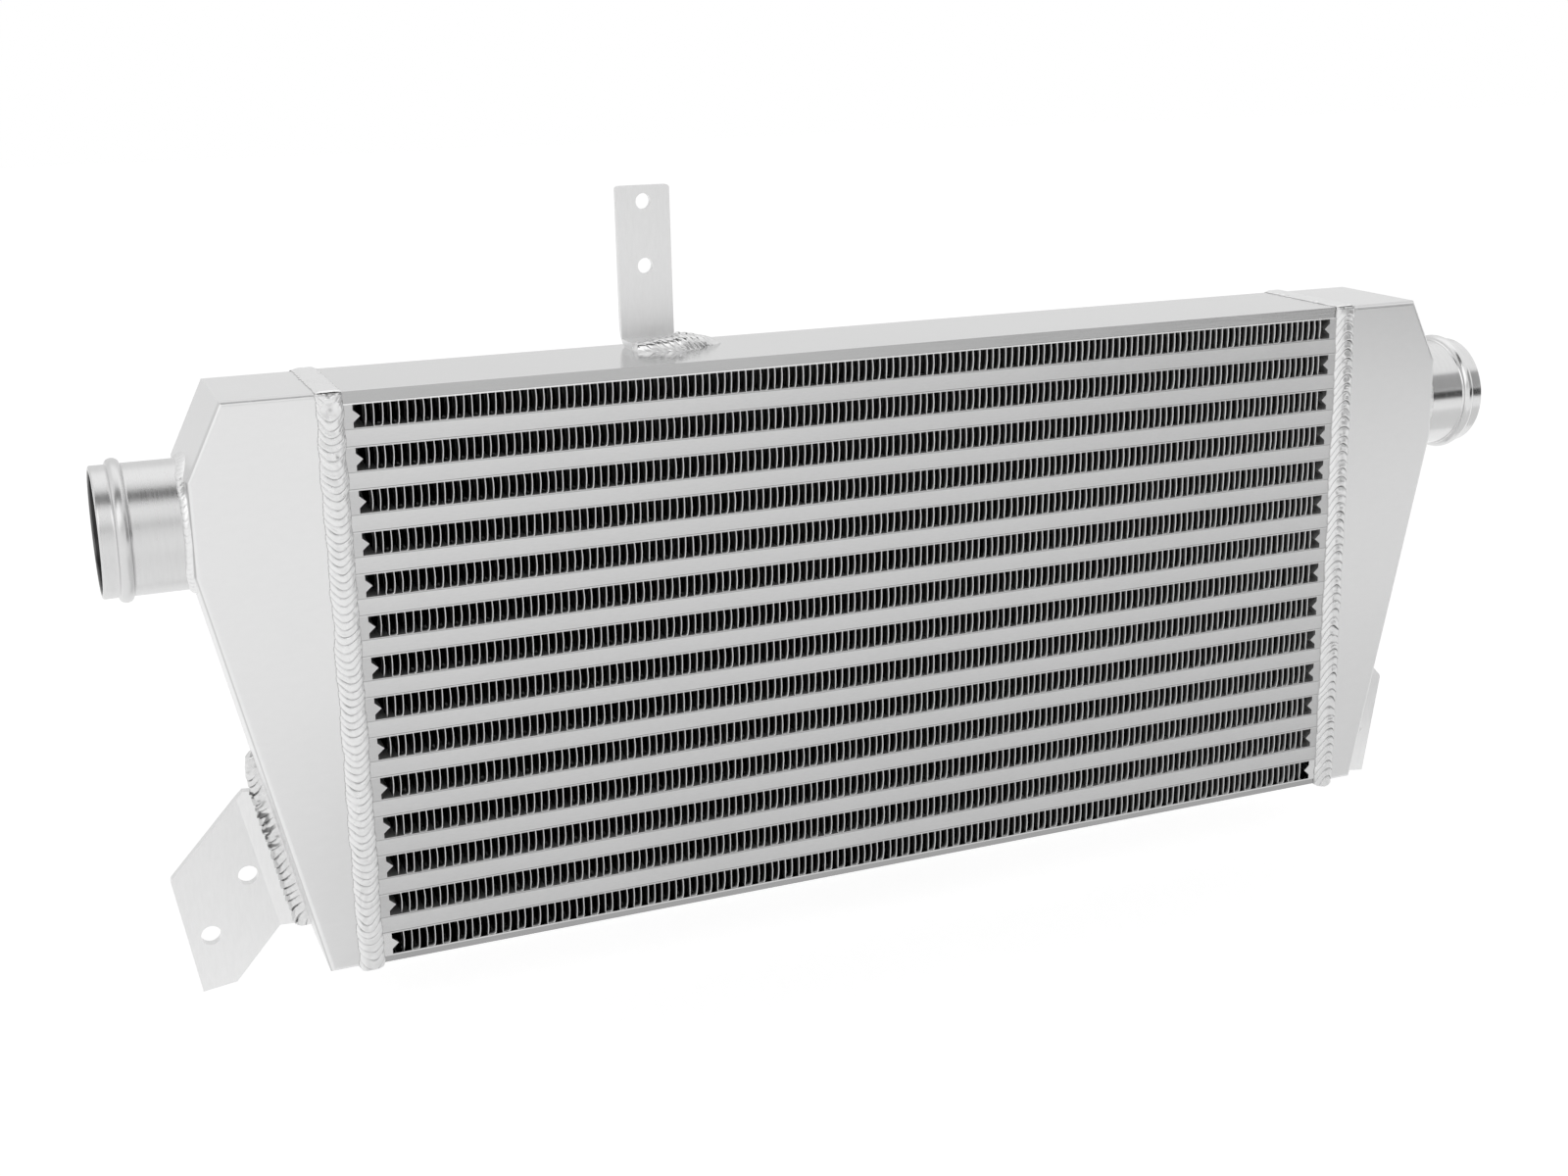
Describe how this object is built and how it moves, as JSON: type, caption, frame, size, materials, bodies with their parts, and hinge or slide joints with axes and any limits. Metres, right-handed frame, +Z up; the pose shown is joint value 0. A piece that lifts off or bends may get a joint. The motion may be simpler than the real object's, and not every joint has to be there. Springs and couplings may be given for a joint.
{
  "type": "intercooler",
  "caption": "Bar-and-plate intercooler: wide finned core, welded end tanks that taper downwards, hose stubs on both ends and drilled mounting brackets.",
  "frame": {"origin": "middle of the whole object's box", "axes": "+X along the core towards the right stub, +Y through the fins from front to back, +Z up"},
  "size_m": [0.6246, 0.0604, 0.3164],
  "materials": {
    "tank": "satin brushed aluminium",
    "bar": "mill-finish aluminium, faintly grained",
    "side_plate": "rolled aluminium, bright on its broad face",
    "fin": "bright folded foil, dark between the folds",
    "stub": "turned and polished aluminium",
    "bracket": "plain sheet aluminium",
    "weld": "rippled weld metal, matt to silky"
  },
  "bodies": {
    "root": {"air_fin_01": "fin", "air_fin_02": "fin", "air_fin_03": "fin", "air_fin_04": "fin", "air_fin_05": "fin", "air_fin_06": "fin", "air_fin_07": "fin", "air_fin_08": "fin", "air_fin_09": "fin", "air_fin_10": "fin", "air_fin_11": "fin", "air_fin_12": "fin", "air_fin_13": "fin", "air_fin_14": "fin", "bottom_side_plate": "side_plate", "bracket_welds": "weld", "charge_cell_01": "bar", "charge_cell_02": "bar", "charge_cell_03": "bar", "charge_cell_04": "bar", "charge_cell_05": "bar", "charge_cell_06": "bar", "charge_cell_07": "bar", "charge_cell_08": "bar", "charge_cell_09": "bar", "charge_cell_10": "bar", "charge_cell_11": "bar", "charge_cell_12": "bar", "charge_cell_13": "bar", "charge_fin_01": "fin", "charge_fin_02": "fin", "charge_fin_03": "fin", "charge_fin_04": "fin", "charge_fin_05": "fin", "charge_fin_06": "fin", "charge_fin_07": "fin", "charge_fin_08": "fin", "charge_fin_09": "fin", "charge_fin_10": "fin", "charge_fin_11": "fin", "charge_fin_12": "fin", "charge_fin_13": "fin", "left_bracket": "bracket", "left_tank": "tank", "left_tank_weld": "weld", "pipe_welds": "weld", "pipes": "stub", "right_bracket": "bracket", "right_tank": "tank", "right_tank_weld": "weld", "top_bracket": "bracket", "top_side_plate": "side_plate"}
  },
  "joints": []
}
